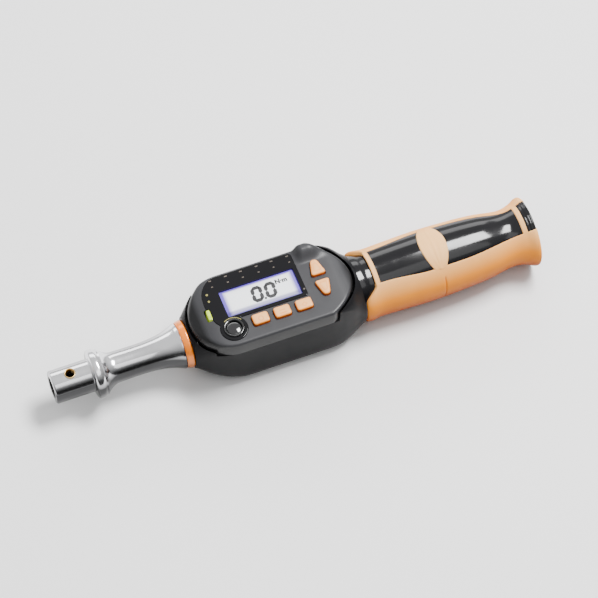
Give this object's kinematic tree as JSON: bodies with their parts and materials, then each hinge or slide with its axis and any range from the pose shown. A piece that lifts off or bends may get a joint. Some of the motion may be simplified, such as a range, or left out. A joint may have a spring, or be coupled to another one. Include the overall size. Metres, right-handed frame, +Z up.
{
  "type": "torque wrench",
  "caption": "Electronic torque wrench with an open round socket for interchangeable heads, a display housing with keys and a covered grip.",
  "frame": {"origin": "centre of the head socket's mouth, on the axis of its bore", "axes": "+X along the tool from the socket to the end cap, +Z up through the display, +Y across the tool"},
  "size_m": [0.2349, 0.0388, 0.0384],
  "materials": {
    "torque_shaft": "satin chrome plated steel",
    "lock_pin_bush": "turned brass",
    "front_ring": "anodised orange",
    "lower_shell": "black moulded plastic",
    "upper_shell": "satin dark grey face",
    "shell_gasket": "matt",
    "display_lens": "glossy tinted window",
    "lcd_panel": "reflective read-out",
    "lcd_backlight": "white diffuser",
    "status_lamp": "tinted light pipe",
    "power_key_bezel": "glossy",
    "power_key": "glossy",
    "key_units": "soft satin orange",
    "key_mode": "soft satin orange",
    "key_clear": "soft satin orange",
    "key_up": "soft satin orange",
    "key_down": "soft satin orange",
    "main_board": "solder mask",
    "key_switches": "tact switches",
    "sounder": "matt",
    "processor_chips": "matt packages",
    "strain_gauges": "foil gauges",
    "gauge_leads": "insulated wire",
    "shell_screws": "zinc plated",
    "board_screws": "zinc plated",
    "handle_tube": "drawn tube",
    "handle_pin": "ground",
    "grip_core": "glossy black",
    "grip_cover": "soft satin orange",
    "battery_cells": "plain sleeve",
    "battery_springs": "nickel plated",
    "battery_leads": "insulated wire",
    "battery_cap": "black moulded plastic",
    "cap_contact": "nickel plated",
    "cap_seal": "matt"
  },
  "bodies": {
    "wrench": {"torque_shaft": "torque_shaft", "lock_pin_bush": "lock_pin_bush", "front_ring": "front_ring", "lower_shell": "lower_shell", "upper_shell": "upper_shell", "shell_gasket": "shell_gasket", "display_lens": "display_lens", "lcd_panel": "lcd_panel", "lcd_backlight": "lcd_backlight", "status_lamp": "status_lamp", "power_key_bezel": "power_key_bezel", "main_board": "main_board", "key_switches": "key_switches", "sounder": "sounder", "processor_chips": "processor_chips", "strain_gauges": "strain_gauges", "gauge_leads": "gauge_leads", "shell_screws": "shell_screws", "board_screws": "board_screws", "handle_tube": "handle_tube", "handle_pin": "handle_pin", "grip_core": "grip_core", "grip_cover": "grip_cover", "battery_cells": "battery_cells", "battery_springs": "battery_springs", "battery_leads": "battery_leads"},
    "power_key_body": {"power_key": "power_key"},
    "key_units_body": {"key_units": "key_units"},
    "key_mode_body": {"key_mode": "key_mode"},
    "key_clear_body": {"key_clear": "key_clear"},
    "key_up_body": {"key_up": "key_up"},
    "key_down_body": {"key_down": "key_down"},
    "cap_seal_ring": {"cap_seal": "cap_seal"},
    "end_cap": {"battery_cap": "battery_cap", "cap_contact": "cap_contact"}
  },
  "joints": [
    {"name": "power_press", "type": "slide", "parent": "wrench", "child": "power_key_body", "axis": [0, 0, -1], "range_m": [0, 0.0005], "stiffness_N_per_m": 900},
    {"name": "key_units_press", "type": "slide", "parent": "wrench", "child": "key_units_body", "axis": [0, 0, -1], "range_m": [0, 0.0005], "stiffness_N_per_m": 900},
    {"name": "key_mode_press", "type": "slide", "parent": "wrench", "child": "key_mode_body", "axis": [0, 0, -1], "range_m": [0, 0.0005], "stiffness_N_per_m": 900},
    {"name": "key_clear_press", "type": "slide", "parent": "wrench", "child": "key_clear_body", "axis": [0, 0, -1], "range_m": [0, 0.0005], "stiffness_N_per_m": 900},
    {"name": "key_up_press", "type": "slide", "parent": "wrench", "child": "key_up_body", "axis": [0, 0, -1], "range_m": [0, 0.0005], "stiffness_N_per_m": 900},
    {"name": "key_down_press", "type": "slide", "parent": "wrench", "child": "key_down_body", "axis": [0, 0, -1], "range_m": [0, 0.0005], "stiffness_N_per_m": 900},
    {"name": "cap_travel", "type": "slide", "parent": "wrench", "child": "cap_seal_ring", "axis": [1, 0, 0], "range_m": [0, 0.0045]},
    {"name": "cap_turn", "type": "hinge", "parent": "cap_seal_ring", "child": "end_cap", "pos_m": [0.2345, 0, 0], "axis": [1, 0, 0], "range_deg": [0, 1080]}
  ],
  "couplings": [
    {"joint": "cap_turn", "follows": "cap_travel", "rad_per_m": 4188.8}
  ]
}
